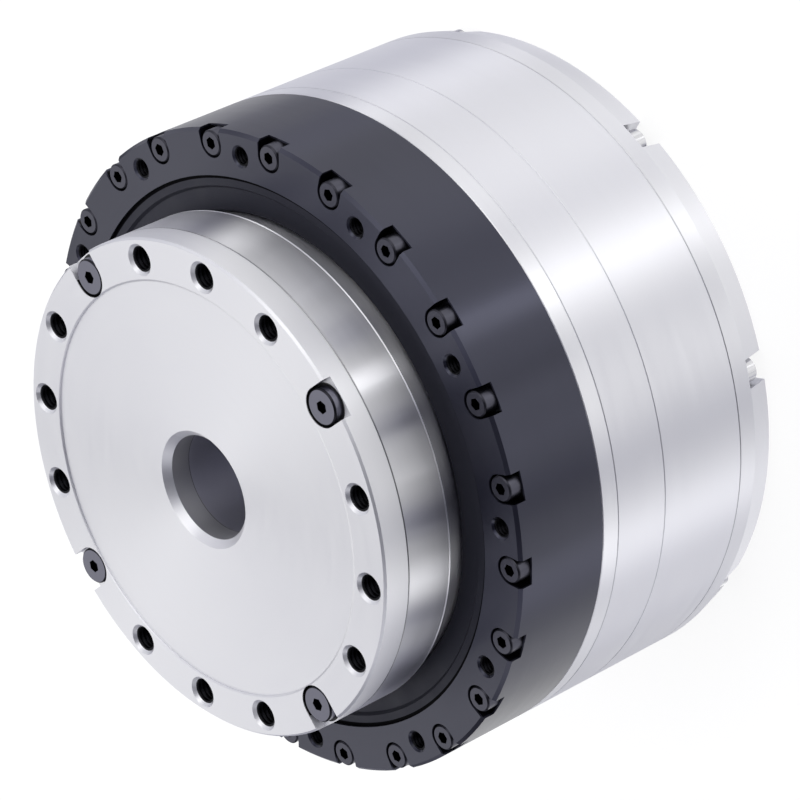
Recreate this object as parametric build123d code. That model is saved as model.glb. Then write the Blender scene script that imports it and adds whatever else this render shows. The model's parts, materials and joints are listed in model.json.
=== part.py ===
from build123d import *
import math
import os

# Strain wave rotary actuator, standing on its rear cover with the output face up.
# The origin is the centre of the rear face and +Z points out of the output face.
# Lengths are in millimetres and angles in degrees.

# Barrel, from the rear face upwards
body_radius = 90.0
rear_cover_length = 13.1
main_housing_length = 28.6
front_housing_length = 17.3
spline_flange_thickness = 5.5
bearing_ring_length = 29.7
flange_gap = 3.5
hub_flange_length = 15.1
plate_thickness = 8.2
housing_wall = 10.0
seam_chamfer = 0.2
rear_taper_length = 7.5
rear_taper = 2.0
body_clocking = 25.7

# Clearances
running_fit = 0.05
free_gap = 0.3
screw_clearance = 0.25
slot_clearance = 0.5

# Output plate and hub
flange_step = 3.0
output_edge_chamfer = 0.6
bore_radius = 14.5
bore_chamfer = 1.9
recess_inset = 5.7
recess_depth = 0.35
face_pattern_edge = 6.0
face_places = 16
face_hole_radius = 3.4
face_hole_chamfer = 1.0
face_hole_depth = 18.0
plate_slot_depth = 2.8
plate_screw_count = 4
plate_screw_radius = 3.0
plate_screw_head_radius = 5.0
plate_screw_head_height = 2.6
plate_screw_socket = 3.2
plate_screw_length = 16.0
neck_step = 7.0
hub_web_thickness = 17.8
clamp_boss_radius = 27.0
clamp_boss_height = 3.0

# Crossed-roller bearing
roller_diameter = 7.0
roller_length = 6.8
roller_count = 40
outer_ring_wall = 17.0
inner_ring_wall = 16.0
bearing_depth = 16.2
roller_spacer_gap = 0.1
race_gap = 0.6
inner_ring_half_height = 8.0
ring_front_chamfer = 0.9
ring_screw_count = 24
ring_screw_edge = 4.1
ring_screw_length = 36.0
mounting_hole_count = 12
mounting_hole_edge = 6.5
mounting_hole_radius = 2.5
mounting_hole_chamfer = 0.65
mounting_hole_depth = 12.0
rear_recess_wall = 15.0
rear_recess_height = 4.5

# Output seal
seal_bore_wall = 12.8
seal_width = 6.6
seal_front_step = 0.8
seal_shell = 3.0
seal_lip_height = 1.4

# M4 socket head screws
m4_radius = 2.0
m4_head_radius = 3.5
m4_head_height = 4.0
m4_socket = 3.0
head_edge = 0.35
socket_share = 0.55
inner_ring_screw_count = 12
inner_ring_screw_edge = 4.5
inner_ring_screw_length = 26.0
clamp_screw_count = 8
clamp_screw_length = 14.0
rear_screw_count = 8
rear_screw_edge = 4.0
rear_screw_length = 40.0
rear_notch_depth = 7.5
thread_end_room = 1.5

# Strain wave gear
flexspline_teeth = 100
tooth_difference = 2
wave_height = 1.0
rim_thickness = 1.2
tooth_height = 1.35
tooth_share = 0.475
flank_angle = 20.0
tooth_root_clearance = 0.2
gear_face_width = 14.0
gear_end_gap = 1.0
spline_sleeve_wall = 4.25
spline_sleeve_gap = 1.0
spline_sleeve_shortfall = 0.5
cup_wall = 0.9
diaphragm_thickness = 1.2
flexspline_boss_height = 4.0
clamp_ring_height = 4.0

# Wave generator
bearing_race = 2.7
wave_roller_diameter = 5.0
wave_roller_length = 8.0
wave_roller_count = 24
plug_length = 11.0
plug_hole_count = 6
plug_hole_share = 0.236

# Cages of the shaft bearings and of the flexible bearing
cage_thickness = 1.1
cage_pocket_gap = 0.1
cage_end_gap = 0.3

# Centre tube and motor shaft
tube_wall = 1.2
tube_collar_width = 3.0
tube_collar_height = 2.0
tube_rear_step = 1.0
shaft_gap = 1.3
shaft_wall = 3.5
shaft_shoulder = 2.5
shaft_rear_room = 3.0
nut_height = 3.5
nut_width = 5.0
nut_notch_width = 4.0
nut_notch_depth = 1.5
nut_notch_count = 4
shaft_front_step = 1.0
support_race = 2.7
support_roller_diameter = 3.0
support_roller_length = 5.0
support_roller_count = 14
support_bearing_width = 7.0
bearing_lip = 1.0
bearing_boss_wall = 5.0
key_width = 4.0
key_height = 3.0
key_angle = 90.0

# Static seals between the sections of the barrel
static_seal_inset = 1.0
static_seal_width = 1.6
static_seal_depth = 1.2
static_seal_side_gap = 0.1

# Motor
housing_end_wall = 4.5
front_wall = 8.0
stator_end_gap = 0.4
stator_yoke = 8.0
stator_teeth = 18
stator_tooth_width = 7.0
stator_slot_depth = 22.0
tooth_shoe_width = 14.0
tooth_shoe_height = 2.5
coil_width = 15.0
coil_overhang = 4.0
coil_gap = 0.2
coil_end_room = 0.7
air_gap = 0.7
magnet_count = 20
magnet_thickness = 3.3
magnet_gap_angle = 2.0
rotor_rim = 4.0
rotor_web = 6.0
rotor_hole_count = 6
rotor_hole_share = 0.263

# Encoder, tube seal and cable grommets in the rear cover
cover_plate = 4.0
encoder_disc_radius = 34.0
encoder_disc_thickness = 1.5
encoder_disc_step = 2.0
board_outer_radius = 58.0
board_inner_radius = 26.0
board_thickness = 1.6
board_post_height = 1.5
board_post_radius = 3.5
board_screw_count = 4
board_screw_circle = 46.0
board_screw_radius = 1.25
board_screw_head_radius = 2.3
board_screw_head_height = 1.6
board_screw_socket = 1.5
board_screw_length = 4.0
reader_length = 9.0
reader_width = 7.0
reader_height = 1.4
cover_boss_wall = 3.0
tube_seal_width = 4.0
tube_seal_section = 4.5
grommet_radius = 6.0
grommet_bore_radius = 3.0
grommet_lip = 1.5
grommet_flange = 1.0
grommet_web = 0.8
grommet_edge = 13.0
grommet_angles = (-18.0, 18.0)

# Levels along the axis
cover_top = rear_cover_length
main_housing_top = cover_top + main_housing_length
front_housing_top = main_housing_top + front_housing_length
spline_flange_top = front_housing_top + spline_flange_thickness
ring_top = spline_flange_top + bearing_ring_length
flange_bottom = ring_top + flange_gap
plate_bottom = flange_bottom + hub_flange_length
plate_top = plate_bottom + plate_thickness
bearing_level = ring_top - bearing_depth
neck_bottom = bearing_level + inner_ring_half_height
hub_web_bottom = plate_bottom - hub_web_thickness
clamp_boss_bottom = hub_web_bottom - clamp_boss_height
boss_bottom = clamp_boss_bottom - flexspline_boss_height
diaphragm_bottom = boss_bottom - diaphragm_thickness
clamp_ring_bottom = diaphragm_bottom - clamp_ring_height
gear_bottom = front_housing_top + gear_end_gap
gear_top = gear_bottom + gear_face_width
ring_screw_seat = ring_top - m4_head_height
seal_bottom = ring_top - seal_front_step - seal_width
stator_bottom = cover_top + housing_end_wall + coil_overhang + coil_end_room
stator_top = main_housing_top - stator_end_gap
stator_length = stator_top - stator_bottom
rotor_middle = (stator_bottom + stator_top) / 2
front_wall_bottom = front_housing_top - front_wall
shaft_bottom = cover_plate + shaft_rear_room
rear_bearing_bottom = cover_top + bearing_lip
rear_bearing_top = rear_bearing_bottom + support_bearing_width
front_bearing_top = front_housing_top - bearing_lip
front_bearing_bottom = front_bearing_top - support_bearing_width
plug_bottom = gear_bottom + (gear_face_width - plug_length) / 2
plug_top = plug_bottom + plug_length
shaft_top = plug_top + nut_height + shaft_front_step
encoder_disc_bottom = shaft_bottom + encoder_disc_step
encoder_disc_top = encoder_disc_bottom + encoder_disc_thickness
board_bottom = cover_plate + board_post_height
board_top = board_bottom + board_thickness

# Radii that follow from the values above
inner_bore_radius = body_radius - housing_wall
grommet_circle = inner_bore_radius - grommet_edge
rear_screw_circle = body_radius - rear_screw_edge
ring_screw_circle = body_radius - ring_screw_edge
mounting_hole_circle = body_radius - mounting_hole_edge
seal_bore_radius = body_radius - seal_bore_wall
rear_recess_radius = body_radius - rear_recess_wall
roller_pitch_radius = body_radius - outer_ring_wall
neck_radius = roller_pitch_radius - neck_step
hub_foot_inner_radius = roller_pitch_radius - inner_ring_wall
inner_ring_screw_circle = hub_foot_inner_radius + inner_ring_screw_edge
output_radius = neck_radius + flange_step
face_pattern_radius = output_radius - face_pattern_edge
recess_radius = face_pattern_radius - recess_inset
inner_ring_outer = roller_pitch_radius - race_gap
outer_ring_inner = roller_pitch_radius + race_gap
groove_depth = (roller_diameter / 2 + running_fit) * math.sqrt(2)
roller_spacer_radius = roller_diameter / 2 - roller_spacer_gap
roller_spacer_span = 2 * (roller_pitch_radius - roller_spacer_radius) * math.sin(math.pi / roller_count)
roller_spacer_length = roller_spacer_span - roller_diameter
tube_outer = bore_radius + tube_wall
tube_collar_radius = tube_outer + tube_collar_width
shaft_inner = tube_outer + shaft_gap
shaft_outer = shaft_inner + shaft_wall
shoulder_radius = shaft_outer + shaft_shoulder
support_pitch = shaft_outer + support_race + running_fit + support_roller_diameter / 2
support_outer_race = support_pitch + support_roller_diameter / 2 + running_fit
support_outer = support_outer_race + support_race
clamp_screw_circle = (tube_outer + free_gap + clamp_boss_radius) / 2
spline_sleeve_outer = hub_foot_inner_radius - spline_sleeve_gap
spline_root = spline_sleeve_outer - spline_sleeve_wall
spline_tip = spline_root - tooth_height
rim_tip = spline_root - wave_height - tooth_root_clearance
rim_root = rim_tip - tooth_height
rim_inner = rim_root - rim_thickness
rim_mid_radius = (rim_root + rim_inner) / 2
tooth_thickness = tooth_share * 2 * math.pi * rim_mid_radius / flexspline_teeth
wave_race_outer = rim_inner - running_fit
wave_race_inner = wave_race_outer - bearing_race
wave_roller_pitch = wave_race_inner - running_fit - wave_roller_diameter / 2
inner_race_outer = wave_roller_pitch - wave_roller_diameter / 2 - running_fit
plug_radius = inner_race_outer - bearing_race
plug_hole_circle = (shaft_outer + plug_radius) / 2
plug_hole_radius = plug_hole_share * (plug_radius - shaft_outer)
stator_slot_radius = inner_bore_radius - stator_yoke
stator_bore_radius = stator_slot_radius - stator_slot_depth
magnet_outer = stator_bore_radius - air_gap
magnet_inner = magnet_outer - magnet_thickness
rim_inside = magnet_inner - rotor_rim
rotor_hole_radius = rotor_hole_share * (rim_inside - shoulder_radius)
cover_boss_radius = tube_outer + tube_seal_section + cover_boss_wall

# Angles that the hole patterns start from
ring_screw_pitch = 360 / ring_screw_count
ring_screw_start = body_clocking + ring_screw_pitch / 2
rear_screw_start = ring_screw_start - ring_screw_pitch

UP = (Align.CENTER, Align.CENTER, Align.MIN)
DOWN = (Align.CENTER, Align.CENTER, Align.MAX)
OUTWARD = (Align.MIN, Align.CENTER, Align.MIN)


def disc(radius, low, high):
    """A round solid on the axis between two levels."""
    return Pos(0, 0, low) * Cylinder(radius, high - low, align=UP)


def ring(inner, outer, low, high):
    """A ring on the axis between two levels."""
    return disc(outer, low, high) - disc(inner, low, high)


def turned(points):
    """A turned solid from its half section, given as radius and level."""
    profile = Plane.XZ * make_face(Polyline(*points, close=True))
    return revolve(profile, Axis.Z)


def around(radius, count, start=0.0):
    """Places on a circle, each with its own X pointing away from the axis."""
    return PolarLocations(radius, count, start)


def hexagon(width):
    """A hexagon of a given width across its flats."""
    return RegularPolygon(width / math.sqrt(3), 6)


def socket_screw(radius, head_radius, head_height, socket, length):
    """A socket head screw with the underside of its head at the origin."""
    head = Cylinder(head_radius, head_height, align=UP)
    head = chamfer(head.edges().group_by(Axis.Z)[-1], head_edge)
    depth = head_height * socket_share
    head -= Pos(0, 0, head_height - depth) * extrude(hexagon(socket), depth)
    return head + Cylinder(radius, length, align=DOWN)


def m4_screw(length):
    """An M4 socket head screw."""
    return socket_screw(m4_radius, m4_head_radius, m4_head_height, m4_socket, length)


def open_slot(radius, depth, reach):
    """A slot with a round inner end that runs out through the edge."""
    run = Box(reach, 2 * radius, depth, align=OUTWARD)
    return Cylinder(radius, depth, align=UP) + run


def face_angles():
    """Angles of the tapped holes in the output face: every place without a screw."""
    step = 360 / face_places
    per_screw = face_places // plate_screw_count
    return [place * step for place in range(face_places) if place % per_screw]


def output_plate():
    """The pale disc of the output, with its holes, screw slots and bore."""
    plate = disc(output_radius, plate_bottom, plate_top)
    rim = plate.edges().group_by(Axis.Z)
    plate = chamfer(rim[-1], output_edge_chamfer)
    plate = chamfer(plate.edges().group_by(Axis.Z)[0], seam_chamfer)
    plate -= disc(recess_radius, plate_top - recess_depth, plate_top)
    floor = plate_top - recess_depth
    plate -= disc(bore_radius, plate_bottom, floor)
    plate -= Pos(0, 0, floor - bore_chamfer) * Cone(
        bore_radius, bore_radius + bore_chamfer, bore_chamfer, align=UP
    )
    slot = open_slot(
        plate_screw_head_radius + slot_clearance,
        plate_slot_depth,
        output_radius - face_pattern_radius + output_edge_chamfer,
    )
    hole = Cylinder(plate_screw_radius + screw_clearance, plate_thickness, align=UP)
    screw_cut = Pos(0, 0, plate_top - plate_slot_depth) * slot + Pos(0, 0, plate_bottom) * hole
    plate -= [place * screw_cut for place in around(face_pattern_radius, plate_screw_count)]
    return plate - tapped_face_holes()


def tapped_face_holes():
    """The tapped holes of the output face, with their chamfered mouths."""
    depth = Cylinder(face_hole_radius, face_hole_depth, align=DOWN)
    mouth = Cone(
        face_hole_radius,
        face_hole_radius + face_hole_chamfer,
        face_hole_chamfer,
        align=DOWN,
    )
    hole = Pos(face_pattern_radius, 0, plate_top) * (depth + mouth)
    return [Rot(0, 0, angle) * hole for angle in face_angles()]


def plate_screws():
    """The ultra-low-head screws of the output plate."""
    screw = socket_screw(
        plate_screw_radius,
        plate_screw_head_radius,
        plate_screw_head_height,
        plate_screw_socket,
        plate_screw_length,
    )
    seat = plate_top - plate_slot_depth
    return [place * Pos(0, 0, seat) * screw for place in around(face_pattern_radius, plate_screw_count)]


def output_hub():
    """The satin flange with its neck, its clamp boss and its tapped holes."""
    hub = disc(output_radius, flange_bottom, plate_bottom)
    hub = chamfer(hub.edges().group_by(Axis.Z)[-1], seam_chamfer)
    hub = chamfer(hub.edges().group_by(Axis.Z)[0], output_edge_chamfer)
    hub += disc(neck_radius, neck_bottom, flange_bottom)
    hub -= disc(hub_foot_inner_radius, neck_bottom, hub_web_bottom)
    hub += disc(clamp_boss_radius, clamp_boss_bottom, hub_web_bottom)
    hub -= disc(tube_outer, clamp_boss_bottom, plate_bottom)
    hub -= disc(tube_collar_radius, plate_bottom - tube_collar_height, plate_bottom)
    thread = Cylinder(plate_screw_radius, plate_screw_length + thread_end_room, align=DOWN)
    thread = Pos(0, 0, plate_top - plate_slot_depth) * thread
    hub -= [place * thread for place in around(face_pattern_radius, plate_screw_count)]
    hub -= tapped_face_holes()
    depth = inner_ring_screw_length - 2 * inner_ring_half_height + thread_end_room
    thread = Pos(0, 0, neck_bottom) * Cylinder(m4_radius, depth, align=UP)
    hub -= [place * thread for place in inner_ring_screw_places()]
    clamped = clamp_ring_height + diaphragm_thickness + flexspline_boss_height
    depth = clamp_screw_length - clamped + thread_end_room
    thread = Pos(0, 0, clamp_boss_bottom) * Cylinder(m4_radius, depth, align=UP)
    return hub - [place * thread for place in around(clamp_screw_circle, clamp_screw_count)]


def inner_ring_screw_places():
    """Places of the inner ring screws, between the holes of the face."""
    return around(inner_ring_screw_circle, inner_ring_screw_count, 180 / inner_ring_screw_count)


def inner_ring(side):
    """Half of the split inner ring: side is 1 in front of the rollers, -1 behind."""
    end = bearing_level + side * inner_ring_half_height
    half = turned([
        (hub_foot_inner_radius, bearing_level),
        (roller_pitch_radius - groove_depth, bearing_level),
        (inner_ring_outer, bearing_level + side * (groove_depth - race_gap)),
        (inner_ring_outer, end),
        (hub_foot_inner_radius, end),
    ])
    hole = Cylinder(m4_radius + screw_clearance, inner_ring_half_height)
    hole = Pos(0, 0, (bearing_level + end) / 2) * hole
    return half - [place * hole for place in inner_ring_screw_places()]


def inner_ring_screws():
    """Screws that clamp both halves of the inner ring to the hub, heads to the rear."""
    seat = bearing_level - inner_ring_half_height
    screw = Rot(180, 0, 0) * m4_screw(inner_ring_screw_length)
    return [place * Pos(0, 0, seat) * screw for place in inner_ring_screw_places()]


def crossed_rollers():
    """Rollers between the V grooves, each tilted the other way from the last."""
    roller = Cylinder(roller_diameter / 2, roller_length)
    rollers = []
    for index, place in enumerate(around(roller_pitch_radius, roller_count)):
        tilt = 45 if index % 2 else -45
        rollers.append(place * Pos(0, 0, bearing_level) * Rot(0, tilt, 0) * roller)
    return rollers


def crossed_roller_spacers():
    """Round spacers that keep neighbouring rollers apart."""
    spacer = Pos(0, 0, bearing_level) * Rot(90, 0, 0) * Cylinder(roller_spacer_radius, roller_spacer_length)
    return [place * spacer for place in around(roller_pitch_radius, roller_count, 180 / roller_count)]


def bearing_outer_ring():
    """The black ring: outer race, seal bore, screw slots and mounting holes."""
    groove = groove_depth - race_gap
    outer = turned([
        (rear_recess_radius, spline_flange_top),
        (body_radius - seam_chamfer, spline_flange_top),
        (body_radius, spline_flange_top + seam_chamfer),
        (body_radius, ring_top - ring_front_chamfer),
        (body_radius - ring_front_chamfer, ring_top),
        (seal_bore_radius, ring_top),
        (seal_bore_radius, seal_bottom),
        (outer_ring_inner, seal_bottom),
        (outer_ring_inner, bearing_level + groove),
        (roller_pitch_radius + groove_depth, bearing_level),
        (outer_ring_inner, bearing_level - groove),
        (outer_ring_inner, spline_flange_top + rear_recess_height),
        (rear_recess_radius, spline_flange_top + rear_recess_height),
    ])
    slot = open_slot(
        m4_head_radius + slot_clearance,
        m4_head_height,
        body_radius - ring_screw_circle + seam_chamfer,
    )
    hole = Cylinder(m4_radius + screw_clearance, bearing_ring_length, align=UP)
    screw_cut = Pos(0, 0, ring_screw_seat) * slot + Pos(0, 0, spline_flange_top) * hole
    outer -= [place * screw_cut for place in ring_screw_places()]
    tapped = Pos(0, 0, ring_top) * mounting_hole()
    return outer - [
        place * tapped for place in around(mounting_hole_circle, mounting_hole_count, body_clocking)
    ]


def ring_screw_places():
    """Places of the slotted screws in the black ring."""
    return around(ring_screw_circle, ring_screw_count, ring_screw_start)


def mounting_hole():
    """One tapped mounting hole of the black ring, with its chamfered mouth."""
    mouth = Cone(
        mounting_hole_radius,
        mounting_hole_radius + mounting_hole_chamfer,
        mounting_hole_chamfer,
        align=DOWN,
    )
    return Cylinder(mounting_hole_radius, mounting_hole_depth, align=DOWN) + mouth


def ring_screws():
    """Screws through the black ring and the circular spline into the front housing."""
    screw = m4_screw(ring_screw_length)
    return [place * Pos(0, 0, ring_screw_seat) * screw for place in ring_screw_places()]


def output_seal():
    """The oil seal between the black ring and the neck of the hub."""
    front = seal_bottom + seal_width
    lip = neck_radius + running_fit
    web = front - seal_lip_height
    return turned([
        (seal_bore_radius, seal_bottom),
        (seal_bore_radius, front),
        (seal_bore_radius - seal_shell, front),
        (seal_bore_radius - seal_shell - seal_front_step, front - seal_front_step),
        (lip + seal_lip_height, front - seal_front_step),
        (lip, web - seal_lip_height),
        (lip + seal_lip_height, web - 2 * seal_lip_height),
        (lip + 2 * seal_lip_height, web - seal_lip_height),
        (seal_bore_radius - seal_shell, web - seal_lip_height),
        (seal_bore_radius - seal_shell, seal_bottom),
    ])


def tooth_half_widths():
    """Half widths of a tooth at its root and at its tip."""
    lean = math.tan(math.radians(flank_angle)) * tooth_height / 2
    return tooth_thickness / 2 + lean, tooth_thickness / 2 - lean


def flexspline_outline():
    """The toothed outline, each tooth moved and tilted as the wave deflects the rim."""
    root_half, tip_half = tooth_half_widths()
    points = []
    for tooth in range(flexspline_teeth):
        angle = 2 * math.pi * tooth / flexspline_teeth
        swing = wave_height / rim_mid_radius * math.sin(2 * angle)
        centre = angle - swing / 2
        lean = angle + 1.5 * swing
        radius = rim_mid_radius + wave_height * math.cos(2 * angle)
        for height, half in (
            (rim_thickness / 2, -root_half),
            (rim_thickness / 2 + tooth_height, -tip_half),
            (rim_thickness / 2 + tooth_height, tip_half),
            (rim_thickness / 2, root_half),
        ):
            x = radius * math.cos(centre) + height * math.cos(lean) - half * math.sin(lean)
            y = radius * math.sin(centre) + height * math.sin(lean) + half * math.cos(lean)
            points.append((x, y))
    return make_face(Polyline(*points, close=True))


def spline_outline():
    """The outline of the circular spline's teeth, with a gap on the X axis."""
    teeth = flexspline_teeth + tooth_difference
    middle = (spline_root + spline_tip) / 2
    gap_half = math.pi * middle / teeth - tooth_thickness / 2
    lean = math.tan(math.radians(flank_angle)) * tooth_height / 2
    points = []
    for gap in range(teeth):
        angle = 2 * math.pi * gap / teeth
        for radius, half in (
            (spline_tip, -gap_half - lean),
            (spline_root, lean - gap_half),
            (spline_root, gap_half - lean),
            (spline_tip, gap_half + lean),
        ):
            x = radius * math.cos(angle) - half * math.sin(angle)
            y = radius * math.sin(angle) + half * math.cos(angle)
            points.append((x, y))
    return make_face(Polyline(*points, close=True))


def wave_ellipse(radius):
    """An ellipse one wave height longer and shorter than a circle, long along X."""
    return Ellipse(radius + wave_height, radius - wave_height)


def wave_ring(inner, outer, low, high):
    """A ring between two ellipses, bent over the wave generator."""
    section = wave_ellipse(outer) - wave_ellipse(inner)
    return Pos(0, 0, low) * extrude(section, high - low)


def cup_form(radius, low, high):
    """A closed wall form from the ellipse at the mouth to a circle at the diaphragm."""
    mouth = Pos(0, 0, low) * wave_ellipse(radius)
    closed_end = Pos(0, 0, high) * Circle(radius)
    return loft([mouth, closed_end])


def flexspline():
    """The thin cup: toothed elliptic rim, tapering wall, diaphragm and bolted boss."""
    rim = Pos(0, 0, gear_bottom) * extrude(flexspline_outline(), gear_face_width)
    rim -= Pos(0, 0, gear_bottom) * extrude(wave_ellipse(rim_inner), gear_face_width)
    wall = cup_form(rim_inner + cup_wall, gear_top, boss_bottom)
    wall -= cup_form(rim_inner, gear_top, boss_bottom)
    wall += ring(tube_outer + free_gap, rim_inner + cup_wall / 2, diaphragm_bottom, boss_bottom)
    wall += ring(tube_outer + free_gap, clamp_boss_radius, diaphragm_bottom, clamp_boss_bottom)
    hole = Cylinder(m4_radius + screw_clearance, diaphragm_thickness + flexspline_boss_height, align=UP)
    hole = Pos(0, 0, diaphragm_bottom) * hole
    wall -= [place * hole for place in around(clamp_screw_circle, clamp_screw_count)]
    return rim + wall


def circular_spline():
    """The bright flange with the toothed sleeve that stands inside the black ring."""
    sleeve_top = gear_top - spline_sleeve_shortfall
    body = disc(body_radius, front_housing_top, spline_flange_top)
    body = chamfer(body.edges().filter_by(GeomType.CIRCLE), seam_chamfer)
    body += disc(spline_sleeve_outer, spline_flange_top, sleeve_top)
    length = sleeve_top - front_housing_top
    body -= Pos(0, 0, front_housing_top) * extrude(spline_outline(), length)
    hole = Cylinder(m4_radius + screw_clearance, spline_flange_thickness, align=UP)
    hole = Pos(0, 0, front_housing_top) * hole
    body -= seal_groove(spline_flange_top)
    return body - [place * hole for place in ring_screw_places()]


def clamp_ring():
    """The ring that clamps the flexspline's boss to the hub."""
    plate = ring(tube_outer + free_gap, clamp_boss_radius, clamp_ring_bottom, diaphragm_bottom)
    hole = Pos(0, 0, clamp_ring_bottom) * Cylinder(m4_radius + screw_clearance, clamp_ring_height, align=UP)
    return plate - [place * hole for place in around(clamp_screw_circle, clamp_screw_count)]


def clamp_screws():
    """Screws of the clamp ring, heads to the rear."""
    screw = Pos(0, 0, clamp_ring_bottom) * Rot(180, 0, 0) * m4_screw(clamp_screw_length)
    return [place * screw for place in around(clamp_screw_circle, clamp_screw_count)]


def centre_tube():
    """The tube that lines the through bore, with a collar under the output plate."""
    tube = ring(bore_radius, tube_outer, tube_rear_step, plate_bottom)
    return tube + ring(bore_radius, tube_collar_radius, plate_bottom - tube_collar_height, plate_bottom)


def motor_shaft():
    """The hollow shaft with its bearing seats and the long shoulder between them."""
    shaft = ring(shaft_inner, shaft_outer, shaft_bottom, shaft_top)
    shaft += ring(shaft_inner, shoulder_radius, rear_bearing_top, front_bearing_bottom)
    return shaft - shaft_keys()


def shaft_keys():
    """Keys that stop the plug and the rotor from slipping on the shaft."""
    plug_key = Pos(shaft_outer, 0, plug_bottom) * Box(key_height, key_width, plug_length, align=UP)
    rotor_key = Pos(shoulder_radius, 0, rotor_middle) * Box(key_height, key_width, rotor_web)
    return [Rot(0, 0, key_angle) * plug_key, Rot(0, 0, key_angle) * rotor_key]


def wave_plug():
    """The elliptic plug of the wave generator."""
    plug = Pos(0, 0, plug_bottom) * extrude(wave_ellipse(plug_radius), plug_length)
    plug -= disc(shaft_outer, plug_bottom, plug_top)
    plug -= shaft_keys()
    hole = Pos(0, 0, plug_bottom) * Cylinder(plug_hole_radius, plug_length, align=UP)
    return plug - [place * hole for place in around(plug_hole_circle, plug_hole_count)]


def wave_inner_race():
    """The flexible bearing's inner race, bent over the plug."""
    return wave_ring(plug_radius, inner_race_outer, plug_bottom, plug_top)


def wave_outer_race():
    """The flexible bearing's outer race, inside the flexspline's rim."""
    return wave_ring(wave_race_inner, wave_race_outer, plug_bottom, plug_top)


def wave_roller_places():
    """Places of the flexible bearing's rolling elements, on the ellipse."""
    level = (plug_bottom + plug_top) / 2
    places = []
    for index in range(wave_roller_count):
        angle = 2 * math.pi * index / wave_roller_count
        x = (wave_roller_pitch + wave_height) * math.cos(angle)
        y = (wave_roller_pitch - wave_height) * math.sin(angle)
        places.append(Pos(x, y, level))
    return places


def wave_rollers():
    """The flexible bearing's rolling elements."""
    roller = Cylinder(wave_roller_diameter / 2, wave_roller_length)
    return [place * roller for place in wave_roller_places()]


def wave_cage():
    """The flexible bearing's cage: a thin elliptic ring with a window for each roller."""
    half = cage_thickness / 2
    low = plug_bottom + cage_end_gap
    high = plug_top - cage_end_gap
    cage = wave_ring(wave_roller_pitch - half, wave_roller_pitch + half, low, high)
    window = cage_window(wave_roller_diameter, wave_roller_length)
    return cage - [place * window for place in wave_roller_places()]


def cage_window(diameter, length):
    """The room that a cage leaves for one roller."""
    return Cylinder(diameter / 2 + cage_pocket_gap, length + 2 * cage_pocket_gap)


def plug_spacer():
    """The spacer ring between the front shaft bearing and the plug."""
    return ring(shaft_outer, shaft_outer + support_race, front_bearing_top, plug_bottom)


def lock_nut():
    """The notched nut that holds the plug on the shaft."""
    nut = ring(shaft_outer, shaft_outer + nut_width, plug_top, plug_top + nut_height)
    notch = Pos(0, 0, plug_top) * Box(nut_notch_depth * 2, nut_notch_width, nut_height, align=UP)
    return nut - [place * notch for place in around(shaft_outer + nut_width, nut_notch_count)]


def rotor_hub():
    """The rotor's hub, web and rim."""
    hub = ring(rim_inside, magnet_inner, stator_bottom, stator_top)
    web_bottom = rotor_middle - rotor_web / 2
    hub += ring(shoulder_radius, rim_inside, web_bottom, web_bottom + rotor_web)
    hub -= shaft_keys()
    hole_circle = (shoulder_radius + rim_inside) / 2
    hole = Pos(0, 0, rotor_middle) * Cylinder(rotor_hole_radius, rotor_web)
    return hub - [place * hole for place in around(hole_circle, rotor_hole_count)]


def rotor_magnets():
    """Curved magnets on the rim, with a gap between neighbours."""
    half_sweep = 180 / magnet_count - magnet_gap_angle / 2
    outline = [
        (magnet_inner, -half_sweep),
        (magnet_outer, -half_sweep),
        (magnet_outer, half_sweep),
        (magnet_inner, half_sweep),
    ]
    corners = [(r * math.cos(math.radians(a)), r * math.sin(math.radians(a))) for r, a in outline]
    section = make_face([
        Line(corners[0], corners[1]),
        ThreePointArc(corners[1], (magnet_outer, 0), corners[2]),
        Line(corners[2], corners[3]),
        ThreePointArc(corners[3], (magnet_inner, 0), corners[0]),
    ])
    magnet = Pos(0, 0, stator_bottom) * extrude(section, stator_length)
    return [place * magnet for place in around(0, magnet_count)]


def stator_core():
    """The laminated core: a yoke and inward teeth with wider shoes."""
    core = ring(stator_slot_radius, inner_bore_radius, stator_bottom, stator_top)
    reach = inner_bore_radius - stator_yoke / 2 - stator_bore_radius
    tooth = Box(reach, stator_tooth_width, stator_length, align=OUTWARD)
    tooth += Box(tooth_shoe_height, tooth_shoe_width, stator_length, align=OUTWARD)
    tooth = Pos(0, 0, stator_bottom) * tooth
    core += [place * tooth for place in around(stator_bore_radius, stator_teeth, 180 / stator_teeth)]
    return core - disc(stator_bore_radius, stator_bottom, stator_top)


def stator_coils():
    """One coil around each tooth of the core."""
    near = stator_bore_radius + tooth_shoe_height + coil_gap
    far = stator_slot_radius - coil_gap - coil_width * coil_width / 8 / stator_slot_radius
    height = stator_length + 2 * coil_overhang
    block = Box(far - near, coil_width, height, align=OUTWARD)
    block = fillet(block.edges().filter_by(Axis.X), coil_overhang / 2)
    core_width = stator_tooth_width + 2 * coil_gap
    core_height = stator_length + 2 * coil_gap
    window = Pos(0, 0, coil_overhang - coil_gap) * Box(far - near, core_width, core_height, align=OUTWARD)
    coil = Pos(0, 0, stator_bottom - coil_overhang) * (block - window)
    return [place * coil for place in around(near, stator_teeth, 180 / stator_teeth)]


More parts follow.
